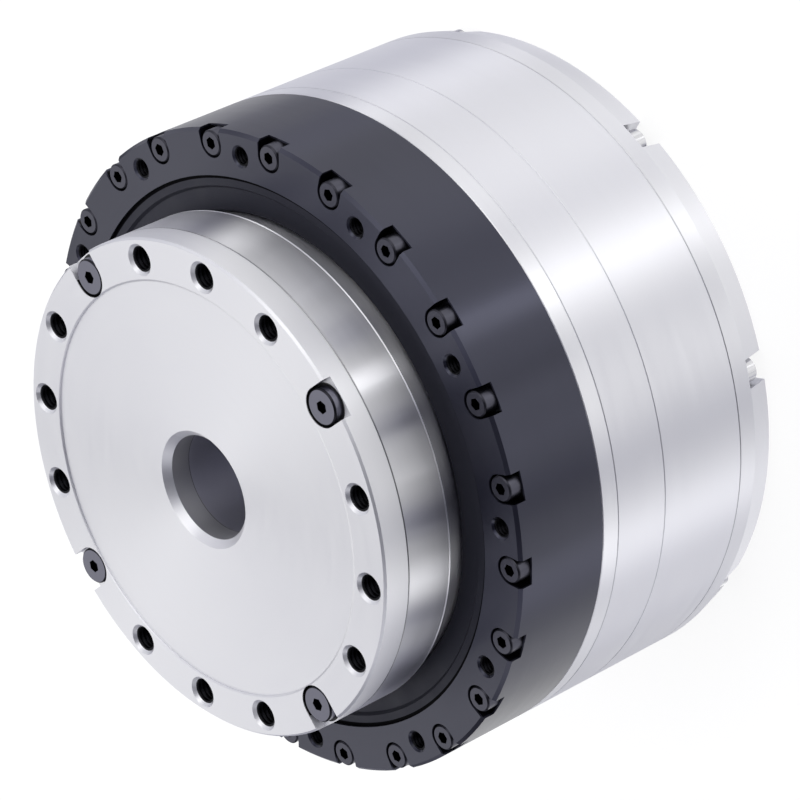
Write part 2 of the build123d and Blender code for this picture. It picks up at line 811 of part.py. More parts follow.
def front_housing():
    """The front motor housing with the wall that carries the front bearing."""
    shell = ring(inner_bore_radius, body_radius, main_housing_top, front_housing_top)
    shell = chamfer(outer_edges(shell), seam_chamfer)
    shell += disc(inner_bore_radius, front_wall_bottom, front_housing_top)
    shell -= disc(support_outer, front_wall_bottom, front_bearing_top)
    shell -= disc(support_outer_race, front_bearing_top, front_housing_top)
    depth = ring_screw_length - bearing_ring_length + m4_head_height - spline_flange_thickness
    thread = Pos(0, 0, front_housing_top) * Cylinder(m4_radius, depth + thread_end_room, align=DOWN)
    shell -= [place * thread for place in ring_screw_places()]
    depth = rear_screw_length + rear_notch_depth - main_housing_top
    thread = Pos(0, 0, main_housing_top) * Cylinder(m4_radius, depth + thread_end_room, align=UP)
    shell -= seal_groove(front_housing_top)
    return shell - [place * thread for place in rear_screw_places()]


def seal_groove(level):
    """A groove for a static seal, in the front face of a barrel section."""
    inner = inner_bore_radius + static_seal_inset
    return ring(inner, inner + static_seal_width, level - static_seal_depth, level)


def static_seals():
    """Seals pressed flat in the grooves between the sections of the barrel."""
    inner = inner_bore_radius + static_seal_inset + static_seal_side_gap
    outer = inner + static_seal_width - 2 * static_seal_side_gap
    levels = (cover_top, main_housing_top, front_housing_top, spline_flange_top)
    return [ring(inner, outer, level - static_seal_depth, level) for level in levels]


def outer_edges(shell):
    """The two round edges at the outside of a barrel section."""
    circles = shell.edges().filter_by(GeomType.CIRCLE)
    return circles.filter_by(lambda edge: edge.radius > (inner_bore_radius + body_radius) / 2)


def rear_screw_places():
    """Places of the rear screws, in line with screws of the black ring."""
    return around(rear_screw_circle, rear_screw_count, rear_screw_start)


def main_housing():
    """The main motor housing with the wall that carries the rear bearing."""
    shell = ring(inner_bore_radius, body_radius, cover_top, main_housing_top)
    shell = chamfer(outer_edges(shell), seam_chamfer)
    wall_top = cover_top + housing_end_wall
    shell += disc(inner_bore_radius, cover_top, wall_top)
    shell += ring(stator_slot_radius, inner_bore_radius, wall_top, stator_bottom)
    shell += disc(support_outer + bearing_boss_wall, wall_top, rear_bearing_top)
    shell -= disc(support_outer, rear_bearing_bottom, rear_bearing_top)
    shell -= disc(support_outer_race, cover_top, rear_bearing_bottom)
    shell -= seal_groove(main_housing_top)
    hole = Pos(0, 0, cover_top) * Cylinder(m4_radius + screw_clearance, main_housing_length, align=UP)
    return shell - [place * hole for place in rear_screw_places()]


def rear_cover():
    """The rear cover: tapered edge, screw notches, tube boss and grommet holes."""
    cover = turned([
        (0, 0),
        (body_radius - rear_taper, 0),
        (body_radius, rear_taper_length),
        (body_radius, cover_top - seam_chamfer),
        (body_radius - seam_chamfer, cover_top),
        (inner_bore_radius, cover_top),
        (inner_bore_radius, cover_plate),
        (cover_boss_radius, cover_plate),
        (cover_boss_radius, tube_seal_width + running_fit + tube_rear_step),
        (0, tube_seal_width + running_fit + tube_rear_step),
    ])
    cover -= disc(tube_outer + free_gap, 0, cover_top)
    cover -= disc(tube_outer + tube_seal_section, tube_rear_step, cover_top)
    cover -= seal_groove(cover_top)
    post = Pos(0, 0, cover_plate) * Cylinder(board_post_radius, board_post_height, align=UP)
    depth = board_screw_length - board_thickness + thread_end_room
    thread = Pos(0, 0, board_bottom) * Cylinder(board_screw_radius, depth, align=DOWN)
    cover += [place * post for place in around(board_screw_circle, board_screw_count)]
    cover -= [place * thread for place in around(board_screw_circle, board_screw_count)]
    slot = open_slot(
        m4_head_radius + slot_clearance,
        rear_notch_depth,
        body_radius - rear_screw_circle + seam_chamfer,
    )
    screw_cut = slot + Cylinder(m4_radius + screw_clearance, cover_top, align=UP)
    cover -= [place * screw_cut for place in rear_screw_places()]
    outlet = Pos(grommet_circle, 0, 0) * Cylinder(grommet_radius, cover_plate, align=UP)
    return cover - [Rot(0, 0, angle) * outlet for angle in grommet_angles]


def rear_screws():
    """Screws of the rear cover, heads in the notches."""
    screw = Rot(180, 0, 0) * m4_screw(rear_screw_length)
    return [place * Pos(0, 0, rear_notch_depth) * screw for place in rear_screw_places()]


def support_inner_race(low):
    """The inner race of a shaft bearing."""
    return ring(shaft_outer, shaft_outer + support_race, low, low + support_bearing_width)


def support_outer_ring(low):
    """The outer race of a shaft bearing."""
    return ring(support_outer_race, support_outer, low, low + support_bearing_width)


def support_rollers(low):
    """The rolling elements of a shaft bearing."""
    roller = Cylinder(support_roller_diameter / 2, support_roller_length)
    level = low + support_bearing_width / 2
    return [place * Pos(0, 0, level) * roller for place in around(support_pitch, support_roller_count)]


def support_cage(low):
    """The cage of a shaft bearing: a thin ring with a window for each roller."""
    half = cage_thickness / 2
    high = low + support_bearing_width
    cage = ring(support_pitch - half, support_pitch + half, low + cage_end_gap, high - cage_end_gap)
    level = (low + high) / 2
    window = Pos(0, 0, level) * cage_window(support_roller_diameter, support_roller_length)
    return cage - [place * window for place in around(support_pitch, support_roller_count)]


def encoder_disc():
    """The thin encoder disc on the rear end of the shaft."""
    return ring(shaft_outer, encoder_disc_radius, encoder_disc_bottom, encoder_disc_top)


def encoder_spacer():
    """The spacer ring between the encoder disc and the rear bearing."""
    return ring(shaft_outer, shaft_outer + support_race, encoder_disc_top, rear_bearing_bottom)


def encoder_board():
    """The round circuit board that reads the encoder disc."""
    board = ring(board_inner_radius, board_outer_radius, board_bottom, board_top)
    hole = Cylinder(board_screw_radius + screw_clearance, board_thickness, align=UP)
    hole = Pos(0, 0, board_bottom) * hole
    return board - [place * hole for place in around(board_screw_circle, board_screw_count)]


def encoder_reader():
    """The read head on the board, under the edge of the disc."""
    body = Box(reader_length, reader_width, reader_height, align=UP)
    return Rot(0, 0, 180 / board_screw_count) * Pos(encoder_disc_radius, 0, board_top) * body


def board_screws():
    """Screws of the encoder board."""
    screw = socket_screw(
        board_screw_radius,
        board_screw_head_radius,
        board_screw_head_height,
        board_screw_socket,
        board_screw_length,
    )
    return [place * Pos(0, 0, board_top) * screw for place in around(board_screw_circle, board_screw_count)]


def tube_seal():
    """The seal between the rear cover and the centre tube."""
    low = tube_rear_step
    return ring(tube_outer + running_fit, tube_outer + tube_seal_section, low, low + tube_seal_width)


def cable_grommets():
    """Rubber grommets of the cable outlets, flush outside, closed by a thin web inside."""
    high = cover_plate + grommet_lip
    grommet = turned([
        (grommet_bore_radius, 0),
        (grommet_radius, 0),
        (grommet_radius, cover_plate),
        (grommet_radius + grommet_flange, cover_plate),
        (grommet_radius + grommet_flange, high),
        (0, high),
        (0, high - grommet_web),
        (grommet_bore_radius, high - grommet_web),
    ])
    return [Rot(0, 0, angle) * Pos(grommet_circle, 0, 0) * grommet for angle in grommet_angles]


parts = {
    "output_plate": output_plate(),
    "plate_screws": plate_screws(),
    "output_hub": output_hub(),
    "bearing_inner_ring_front": inner_ring(1),
    "bearing_inner_ring_rear": inner_ring(-1),
    "inner_ring_screws": inner_ring_screws(),
    "crossed_rollers": crossed_rollers(),
    "crossed_roller_spacers": crossed_roller_spacers(),
    "bearing_outer_ring": bearing_outer_ring(),
    "ring_screws": ring_screws(),
    "output_seal": output_seal(),
    "flexspline": flexspline(),
    "flexspline_clamp_ring": clamp_ring(),
    "flexspline_clamp_screws": clamp_screws(),
    "circular_spline": circular_spline(),
    "centre_tube": centre_tube(),
    "motor_shaft": motor_shaft(),
    "shaft_keys": shaft_keys(),
    "wave_generator_plug": wave_plug(),
    "wave_bearing_inner_race": wave_inner_race(),
    "wave_bearing_rollers": wave_rollers(),
    "wave_bearing_cage": wave_cage(),
    "wave_bearing_outer_race": wave_outer_race(),
    "wave_generator_spacer": plug_spacer(),
    "wave_generator_nut": lock_nut(),
    "rotor_hub": rotor_hub(),
    "rotor_magnets": rotor_magnets(),
    "stator_core": stator_core(),
    "stator_coils": stator_coils(),
    "front_housing": front_housing(),
    "main_housing": main_housing(),
    "rear_cover": rear_cover(),
    "rear_screws": rear_screws(),
    "static_seals": static_seals(),
    "front_bearing_inner_race": support_inner_race(front_bearing_bottom),
    "front_bearing_outer_race": support_outer_ring(front_bearing_bottom),
    "front_bearing_rollers": support_rollers(front_bearing_bottom),
    "front_bearing_cage": support_cage(front_bearing_bottom),
    "rear_bearing_inner_race": support_inner_race(rear_bearing_bottom),
    "rear_bearing_outer_race": support_outer_ring(rear_bearing_bottom),
    "rear_bearing_rollers": support_rollers(rear_bearing_bottom),
    "rear_bearing_cage": support_cage(rear_bearing_bottom),
    "encoder_disc": encoder_disc(),
    "encoder_spacer": encoder_spacer(),
    "encoder_board": encoder_board(),
    "encoder_reader": encoder_reader(),
    "encoder_board_screws": board_screws(),
    "tube_seal": tube_seal(),
    "cable_grommets": cable_grommets(),
}

os.makedirs("parts", exist_ok=True)
for name, shape in parts.items():
    if isinstance(shape, list):
        shape = Compound([piece.solid() for piece in shape])
    export_step(shape, f"parts/{name}.step")
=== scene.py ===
import json
import math

import bmesh
import bpy
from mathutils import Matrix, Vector

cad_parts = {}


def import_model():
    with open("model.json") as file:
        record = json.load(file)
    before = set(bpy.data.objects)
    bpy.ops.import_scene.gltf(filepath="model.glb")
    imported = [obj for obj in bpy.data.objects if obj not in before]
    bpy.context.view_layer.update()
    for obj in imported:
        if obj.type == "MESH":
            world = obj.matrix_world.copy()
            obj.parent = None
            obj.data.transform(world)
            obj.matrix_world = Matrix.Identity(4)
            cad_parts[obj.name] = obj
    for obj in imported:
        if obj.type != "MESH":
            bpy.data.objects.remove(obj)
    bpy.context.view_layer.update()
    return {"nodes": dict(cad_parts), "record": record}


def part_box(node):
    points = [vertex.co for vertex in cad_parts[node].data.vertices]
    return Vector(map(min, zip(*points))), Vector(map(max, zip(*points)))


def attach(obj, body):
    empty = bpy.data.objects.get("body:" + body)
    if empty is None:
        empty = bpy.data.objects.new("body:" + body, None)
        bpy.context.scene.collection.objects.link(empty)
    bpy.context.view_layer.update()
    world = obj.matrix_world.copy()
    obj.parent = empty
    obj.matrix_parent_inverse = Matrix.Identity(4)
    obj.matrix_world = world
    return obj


# Strain wave rotary actuator, dressed and lit. Lengths are in metres, angles in degrees.

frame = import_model()
nodes = frame["nodes"]
MM = 0.001
full_turn = 2 * math.pi
white = (1, 1, 1, 1)

# Camera, as in the photograph
camera_aim = Vector((-0.0016, -0.0127, 0.060))
camera_distance = 1.1912
camera_azimuth = -5.645
camera_elevation = 37.05
camera_roll = 114.93
camera_lens = 202.107
sensor_width = 36.0
clip_near = 0.05
clip_far = 50.0

# Studio that the metal mirrors: azimuths seen from the object, and the brightness there,
# near the horizon and high up
low_walls = (
    (15, 0.84), (45, 0.82), (75, 0.94), (105, 0.95), (135, 0.98), (165, 0.95), (195, 0.98),
    (225, 1.04), (255, 1.12), (285, 1.06), (315, 1.06), (345, 1.00),
)
high_walls = (
    (15, 0.80), (35, 0.74), (55, 0.90), (75, 1.00), (95, 1.00), (115, 0.75), (135, 0.30),
    (165, 0.15), (195, 0.05), (225, 0.10), (255, 0.70), (285, 1.00), (315, 0.90), (345, 0.55),
)
horizon_low = -0.10
horizon_high = 0.45
wall_peak = 2.0
# Light strips and dark flags, in groups that share a lowest and a highest rise; each strip
# is an azimuth, a half width, and what it adds
strips = (
    (-1.5, 0.25, (
        (277, 7, 1.10), (176, 14, -0.46), (216, 12, -0.30), (248, 14, 0.12), (326, 26, 0.30),
        (14, 16, -0.58), (38, 12, -0.25), (122, 34, 0.48),
    )),
    (-0.45, 0.30, (
        (190, 16, 1.6), (216, 10, -0.35), (236, 8, 0.5), (256, 8, -0.9), (277, 7, 1.1),
        (297, 12, -0.55), (322, 26, -0.45), (1, 17, 1.2), (38, 12, 0.1), (57, 12, -0.85),
        (82, 14, 0.8), (112, 18, -0.9), (136, 34, -1.1),
    )),
    (0.34, 0.68, ((160, 34, 1.0),)),
    (0.55, 1.5, ((322, 44, 1.4), (247, 42, -0.5))),
)
strip_fade = 0.15
shade_tint = (0.95, 0.96, 1.28)

# Floor: its size, its grey in bounced light, and what the camera sees of it
floor_half = 6.0
floor_drop = 0.05 * MM
floor_grey = (0.80, 0.80, 0.80)
floor_clouds = 0.4
floor_seen_grey = 0.20
floor_glow = 0.86

# Seams, and how far their shade reaches to either side
cover_seam = 13.1 * MM
housing_seam = 41.7 * MM
spline_seam = 59.0 * MM
plate_seam = 112.8 * MM
seam_half = 0.24 * MM

# Rolled edges of the hub and of the face recess
hub_rear = 97.7 * MM
recess_edge = 57.3 * MM
edge_height = 0.6 * MM
edge_width = 0.5 * MM
edge_slope = 0.65

# Painted shade: places painted darker where shade falls, inside the black ring's holes and slots,
# in and around the face and mounting holes, on the bore wall, in the seal's outer gap and on the
# downward rear face, and the share of its colour that each keeps; above_all is a level over the
# whole part
ring_front = 94.2 * MM
barrel_radius = 90.0 * MM
cavity_start = 0.45 * MM
cavity_full = 0.6 * MM
cavity_shade_share = 0.25
cavity_shade_gloss = 0.03
plate_front = 121.0 * MM
bore_wall_radius = 14.6 * MM
bore_wall_top = 118.7 * MM
bore_wall_shade_share = 0.7
seal_edge = 76.2 * MM
seal_gap_shade_share = 0.1
seal_gap_shade_gloss = 0.02
rear_face_shade_share = 0.74
hole_shade_share = 0.06
above_all = 1.0

# Gloss and grain of turned metal
face_facing = 0.5
flat_facing = 0.95
quarter_turn = 0.25
plain_gloss = 0.5
coat_roughness = 0.15
ring_length = 0.4
streak_length = 0.03
streak_rings = 6
streak_part = 0.6
mark_size = 0.018

# Screws of the black ring and of the output plate, with painted shade in the gap around each head
# and in its socket
ring_screw_circle = 85.9 * MM
ring_screw_count = 24
ring_screw_start = 33.2
ring_screw_rim = 3.12 * MM
ring_screw_rim_shade_share = 0.5
ring_screw_socket = 1.85 * MM
plate_screw_count = 4
plate_screw_top = 120.8 * MM
plate_screw_slot = 5.7 * MM
plate_screw_rim = 4.6 * MM
plate_screw_rim_shade_share = 0.15
plate_screw_socket = 2.0 * MM
socket_drop = edge_height / 4

# Face holes and mounting holes that carry a thread
face_pattern_radius = 63.0 * MM
face_places = 16
# face_mouth and mount_mouth: how far from a hole's axis its painted shade reaches
face_mouth = 3.55 * MM
face_thread_radius = 3.4 * MM
face_thread_pitch = 1.25 * MM
face_thread_depth = 17.5 * MM
face_thread_top = 1.0 * MM
mount_pattern_radius = 83.5 * MM
mount_mouth = 3.2 * MM
mount_thread_count = 12
mount_thread_start = 25.7
mount_thread_radius = 2.5 * MM
mount_thread_pitch = 1.0 * MM
mount_thread_depth = 11.5 * MM
mount_thread_top = 0.65 * MM
thread_gap = 0.01 * MM
thread_height = 0.32
thread_sides = 24
thread_steps = 4

# Encoder disc
code_line_count = 512
code_track_radius = 30.0 * MM


def grey(level):
    return (level, level, level, 1.0)


def put(name, data):
    """A new object in the scene's own collection."""
    made = bpy.data.objects.new(name, data)
    bpy.context.scene.collection.objects.link(made)
    return made


class Look:
    """A node tree put together node by node. Values and sockets are fed by socket name, or by
    number, as in i0, where names repeat."""

    def __init__(self, name, tree=None):
        if tree is None:
            self.material = bpy.data.materials.new(name)
            self.material.use_nodes = True
            tree = self.material.node_tree
        self.tree = tree
        self.tree.nodes.clear()
        self.texture = self.add("ShaderNodeTexCoord")

    def add(self, kind, settings=None, **inputs):
        node = self.tree.nodes.new(kind)
        for name, value in (settings or {}).items():
            setattr(node, name, value)
        for name, value in inputs.items():
            self.feed(node, name.replace("_", " "), value)
        return node

    def feed(self, node, name, value):
        numbered = name[:1] == "i" and name[1:].isdigit()
        socket = node.inputs[int(name[1:]) if numbered else name]
        if isinstance(value, bpy.types.NodeSocket):
            self.tree.links.new(value, socket)
        else:
            socket.default_value = value

    def math(self, operation, first, second=0.0):
        node = self.add("ShaderNodeMath", {"operation": operation}, i0=first, i1=second)
        return node.outputs[0]

    def times(self, first, second):
        return self.math("MULTIPLY", first, second)

    def hypot(self, first, second):
        squares = self.math("ADD", self.times(first, first), self.times(second, second))
        return self.math("SQRT", squares)

    def turn(self, x, y):
        """The angle around the axis, in turns from -0.5 to 0.5."""
        return self.math("DIVIDE", self.math("ARCTAN2", y, x), full_turn)

    def remap(self, value, start, end, low=0.0, high=1.0, kind="LINEAR"):
        """Goes from low to high as the value goes from start to end, and no further."""
        node = self.add(
            "ShaderNodeMapRange", {"interpolation_type": kind}, Value=value,
            From_Min=start, From_Max=end, To_Min=low, To_Max=high,
        )
        return node.outputs[0]

    def scale(self, value, low, high):
        """A 0 to 1 value carried to the range from low to high."""
        return self.remap(value, 0.0, 1.0, low, high)

    def mix(self, factor, first, second):
        node = self.add(
            "ShaderNodeMix", {"data_type": "FLOAT"}, Factor=factor, i2=first, i3=second
        )
        return node.outputs[0]

    def mix_colours(self, factor, first, second):
        node = self.add(
            "ShaderNodeMix", {"data_type": "RGBA"}, Factor=factor, i6=first, i7=second
        )
        return node.outputs[2]

    def noise(self, vector, size, detail=2.0):
        """Soft noise whose features are about this size, in the units of the vector."""
        node = self.add("ShaderNodeTexNoise", Vector=vector, Scale=1 / size, Detail=detail)
        return node.outputs["Fac"]

    def place(self):
        """The point in the object's own frame, in metres."""
        return self.texture.outputs["Object"]

    def split(self, vector):
        return self.add("ShaderNodeSeparateXYZ", Vector=vector).outputs

    def level(self):
        """The height of the point along the axis."""
        return self.split(self.place())[2]

    def radius(self):
        """The distance of the point from the axis."""
        x, y, _ = self.split(self.place())
        return self.hypot(x, y)

    def facing(self):
        """1 where the surface looks along the axis, and 0 where it looks away from it."""
        return self.math("ABSOLUTE", self.split(self.texture.outputs["Normal"])[2])

    def across(self):
        """The way a turning tool moved: along the radius on faces and along the axis on sides."""
        is_face = self.math("GREATER_THAN", self.facing(), face_facing)
        return self.mix(is_face, self.level(), self.radius())

    def drawn_noise(self, length, width, detail=3.0):
        """Noise drawn out around the axis, with no seam; length is that at the barrel."""
        x, y, _ = self.split(self.place())
        radius = self.radius()
        around = barrel_radius / length
        scaled = [self.times(self.math("DIVIDE", v, radius), around) for v in (x, y)]
        wide = self.math("DIVIDE", self.across(), width)
        vector = self.add("ShaderNodeCombineXYZ", X=scaled[0], Y=scaled[1], Z=wide).outputs[0]
        return self.noise(vector, 1.0, detail)

    def tint(self, colour, factor, darker, lighter):
        """A colour made a little darker or lighter by a 0 to 1 value."""
        low = tuple(c * darker for c in colour) + (1.0,)
        high = tuple(min(1.0, c * lighter) for c in colour) + (1.0,)
        return self.mix_colours(factor, low, high)

    def darker(self, colour, factor, share):
        """A colour socket darkened to a share of itself by a 0 to 1 value."""
        left = self.scale(factor, 1.0, share)
        node = self.add("ShaderNodeVectorMath", {"operation": "SCALE"}, i0=colour, Scale=left)
        return node.outputs[0]

    def within(self, low, high):
        """1 where the level lies between two levels, 0 elsewhere."""
        level = self.level()
        above = self.math("GREATER_THAN", level, low)
        return self.times(above, self.math("LESS_THAN", level, high))

    def seams(self, lines):
        """Shade in the joints between pieces: each line is a level and how dark it is."""
        shade = 0.0
        for level, strength in lines:
            line = self.within(level - seam_half, level + seam_half)
            shade = self.math("ADD", self.times(line, strength), shade)
        return shade

    def cavity(self, top, edge):
        """1 inside holes and slots, away from both the front face and the outside: where shade is
        painted.
        """
        below = self.math("SUBTRACT", top, self.level())
        inside = self.math("SUBTRACT", edge, self.radius())
        return self.remap(self.math("MINIMUM", below, inside), cavity_start, cavity_full)

    def from_nearest(self, pitch_radius, count, start):
        """Distance from the axis of the nearest hole or screw of a round pattern."""
        x, y, _ = self.split(self.place())
        step = self.times(self.math("SUBTRACT", self.turn(x, y), start / 360), float(count))
        phase = self.math("SUBTRACT", self.math("FRACT", self.math("ADD", step, 0.5)), 0.5)
        angle = self.times(phase, full_turn / count)
        radius = self.radius()
        along = self.times(radius, self.math("COSINE", angle))
        along = self.math("SUBTRACT", along, pitch_radius)
        return self.hypot(along, self.times(radius, self.math("SINE", angle)))

    def near(self, distance, limit, highest):
        """1 within a distance of a hole or screw and below a level."""
        low_enough = self.math("LESS_THAN", self.level(), highest)
        return self.times(self.math("LESS_THAN", distance, limit), low_enough)

    def bump(self, height, distance, normal=None):
        node = self.add("ShaderNodeBump", Height=height, Distance=distance, Strength=1.0)
        if normal is not None:
            self.feed(node, "Normal", normal)
        return node.outputs[0]

    def roll(self, value, high, low):
        """A rolled edge: the surface falls away as the value goes from high to low."""
        return self.bump(self.remap(value, high, low, 1.0, 0.0), edge_slope * edge_width)

    def finish(self, **inputs):
        shader = self.add("ShaderNodeBsdfPrincipled")
        for name, value in inputs.items():
            self.feed(shader, name.replace("_", " "), value)
        return self.surface(shader)

    def surface(self, shader):
        output = self.add("ShaderNodeOutputMaterial")
        self.tree.links.new(shader.outputs[0], output.inputs["Surface"])
        return self.material


def turned_metal(
    name, colour, roughness, ring=0.35 * MM, depth=0.004 * MM, spread=0.08, grain=0.04,
    anisotropy=0.7, metallic=1.0, ior=1.5, specular_tint=white, coat=0.0,
    seams=(), shaded_mouths=(), cavity=None, face_shade_share=None, edge=None, rim=None,
):
    """Metal turned or ground around the axis: its gloss is drawn out across the fine rings."""
    look = Look(name)
    rings = look.drawn_noise(ring_length, ring)
    streaks = look.drawn_noise(streak_length, streak_rings * ring)
    marks = look.noise(look.place(), mark_size, detail=4.0)
    mixed = look.math(
        "ADD", look.times(streaks, streak_part), look.times(marks, 1 - streak_part)
    )
    base = look.tint(colour, mixed, 1 - grain, 1 + grain)
    rough = look.scale(mixed, roughness - spread, roughness + spread)
    tangent = look.add("ShaderNodeTangent", {"direction_type": "RADIAL", "axis": "Z"}).outputs[0]
    inputs = {}
    if seams:
        base = look.darker(base, look.seams(seams), 0.0)
    # Painted shade in and around holes, screw slots and the bore: each is a pattern radius, count,
    # first angle, reach, highest level and the share of colour kept.
    for pitch_radius, count, first, limit, highest, share in shaded_mouths:
        shade = look.near(look.from_nearest(pitch_radius, count, first), limit, highest)
        base = look.darker(base, shade, share)
    # Painted shade: darker colour and weaker gloss inside holes and slots, away from the faces.
    if cavity:
        deep = look.cavity(*cavity)
        base = look.darker(base, deep, cavity_shade_share)
        inputs["Specular_IOR_Level"] = look.scale(deep, plain_gloss, cavity_shade_gloss)
    # Painted shade: faces that look along the axis, chiefly the downward rear face, are darker.
    if face_shade_share is not None:
        flat = look.math("GREATER_THAN", look.facing(), flat_facing)
        base = look.darker(base, flat, face_shade_share)
    rolled = None
    if edge is not None:
        rolled = look.roll(look.level(), edge, edge + edge_width)
    if rim is not None:
        rolled = look.roll(look.radius(), rim + edge_width, rim)
    return look.finish(
        Base_Color=base, Metallic=metallic, Roughness=rough, Anisotropic=anisotropy,
        Tangent=tangent, Anisotropic_Rotation=quarter_turn, IOR=ior,
        Specular_Tint=specular_tint, Coat_Weight=coat, Coat_Roughness=coat_roughness,
        Normal=look.bump(rings, depth, normal=rolled), **inputs,
    )


def plain_metal(
    name, colour, roughness, grain_size=0.5 * MM, depth=0.003 * MM, spread=0.08, grain=0.06,
    metallic=1.0, ior=1.5, heads=(),
):
    """Small metal pieces: an even fine grain with soft clouds in tone and gloss."""
    look = Look(name)
    fine = look.noise(look.place(), grain_size, detail=3.0)
    clouds = look.noise(look.place(), 4 * MM, detail=3.0)
    base = look.tint(colour, clouds, 1 - grain, 1 + grain)
    rough = look.scale(clouds, roughness - spread, roughness + spread)
    # Painted shade: a dark rim in the gap around each head and a dark socket.
    for pitch_radius, count, first, top, rim, rim_shade_share, socket in heads:
        distance = look.from_nearest(pitch_radius, count, first)
        outside = look.math("GREATER_THAN", distance, rim)
        rim_shade = look.times(outside, look.within(top - edge_height, top + edge_height))
        socket_shade = look.near(distance, socket, top - socket_drop)
        base = look.darker(base, rim_shade, rim_shade_share)
        base = look.darker(base, socket_shade, hole_shade_share)
    return look.finish(
        Base_Color=base, Metallic=metallic, Roughness=rough, IOR=ior,
        Normal=look.bump(fine, depth),
    )


def rubber(name, colour, specular_tint=white, gap=None):
    """Moulded rubber: matt, finely pebbled, with faint rings from the mould."""
    look = Look(name)
    pebbles = look.noise(look.place(), 0.25 * MM, detail=3.0)
    rings = look.drawn_noise(ring_length, 0.8 * MM, detail=2.0)
    clouds = look.noise(look.place(), 6 * MM, detail=3.0)
    base = look.tint(colour, clouds, darker=0.8, lighter=1.3)
    specular = plain_gloss
    # Painted shade: beyond this radius, the seal's outer edge in the gap to the ring is darker and
    # less glossy.
    if gap is not None:
        beyond = look.math("GREATER_THAN", look.radius(), gap)
        base = look.darker(base, beyond, seal_gap_shade_share)
        specular = look.scale(beyond, specular, seal_gap_shade_gloss)
    return look.finish(
        Base_Color=base, Roughness=look.scale(clouds, low=0.5, high=0.68),
        Specular_IOR_Level=specular, Specular_Tint=specular_tint,
        Normal=look.bump(look.math("ADD", pebbles, rings), distance=0.01 * MM),
    )


def laminations(name, colour, sheet):
    """Stacked sheets: a thin dark groove at the edge of each."""
    look = Look(name)
    phase = look.math("FRACT", look.math("DIVIDE", look.level(), sheet))
    edge = look.math("LESS_THAN", phase, 0.2)
    return look.finish(
        Base_Color=look.tint(colour, edge, darker=1.1, lighter=0.45),
        Metallic=1.0, Roughness=0.45,
        Normal=look.bump(look.times(edge, -1.0), distance=0.03 * MM),
    )


def winding(name, colour, wire):
    """Enamelled wire: round turns side by side around each coil."""
    look = Look(name)
    wave = look.math("SINE", look.times(look.radius(), full_turn / wire))
    clouds = look.noise(look.place(), 3 * MM, detail=3.0)
    return look.finish(
        Base_Color=look.tint(colour, clouds, darker=0.8, lighter=1.15),
        Metallic=0.9, Roughness=look.scale(clouds, low=0.2, high=0.35),
        Normal=look.bump(look.scale(wave, 0.0, 1.0), distance=0.15 * MM),
    )


def board(name, colour):
    """Solder mask over copper tracks: a woven board with raised arcs."""
    look = Look(name)
    weave = look.noise(look.place(), 0.6 * MM)
    arcs = look.drawn_noise(length=0.02, width=1.5 * MM, detail=0.0)
    tracks = look.math("GREATER_THAN", arcs, 0.56)
    return look.finish(
        Base_Color=look.tint(colour, tracks, darker=0.75, lighter=1.35),
        Roughness=look.scale(weave, low=0.25, high=0.4),
        Normal=look.bump(look.math("ADD", weave, tracks), distance=0.02 * MM),
    )


def code_disc(name, colour, lines):
    """A polished disc with a ring of fine radial code lines."""
    look = Look(name)
    x, y, _ = look.split(look.place())
    turn = look.math("ADD", look.turn(x, y), 1.0)
    dark = look.math("LESS_THAN", look.math("FRACT", look.times(turn, lines)), 0.5)
    track = look.math("GREATER_THAN", look.radius(), code_track_radius)
    clouds = look.noise(look.place(), 5 * MM)
    return look.finish(
        Base_Color=look.tint(colour, look.times(dark, track), darker=1.0, lighter=0.15),
        Metallic=0.9, Roughness=look.scale(clouds, low=0.06, high=0.14),
    )


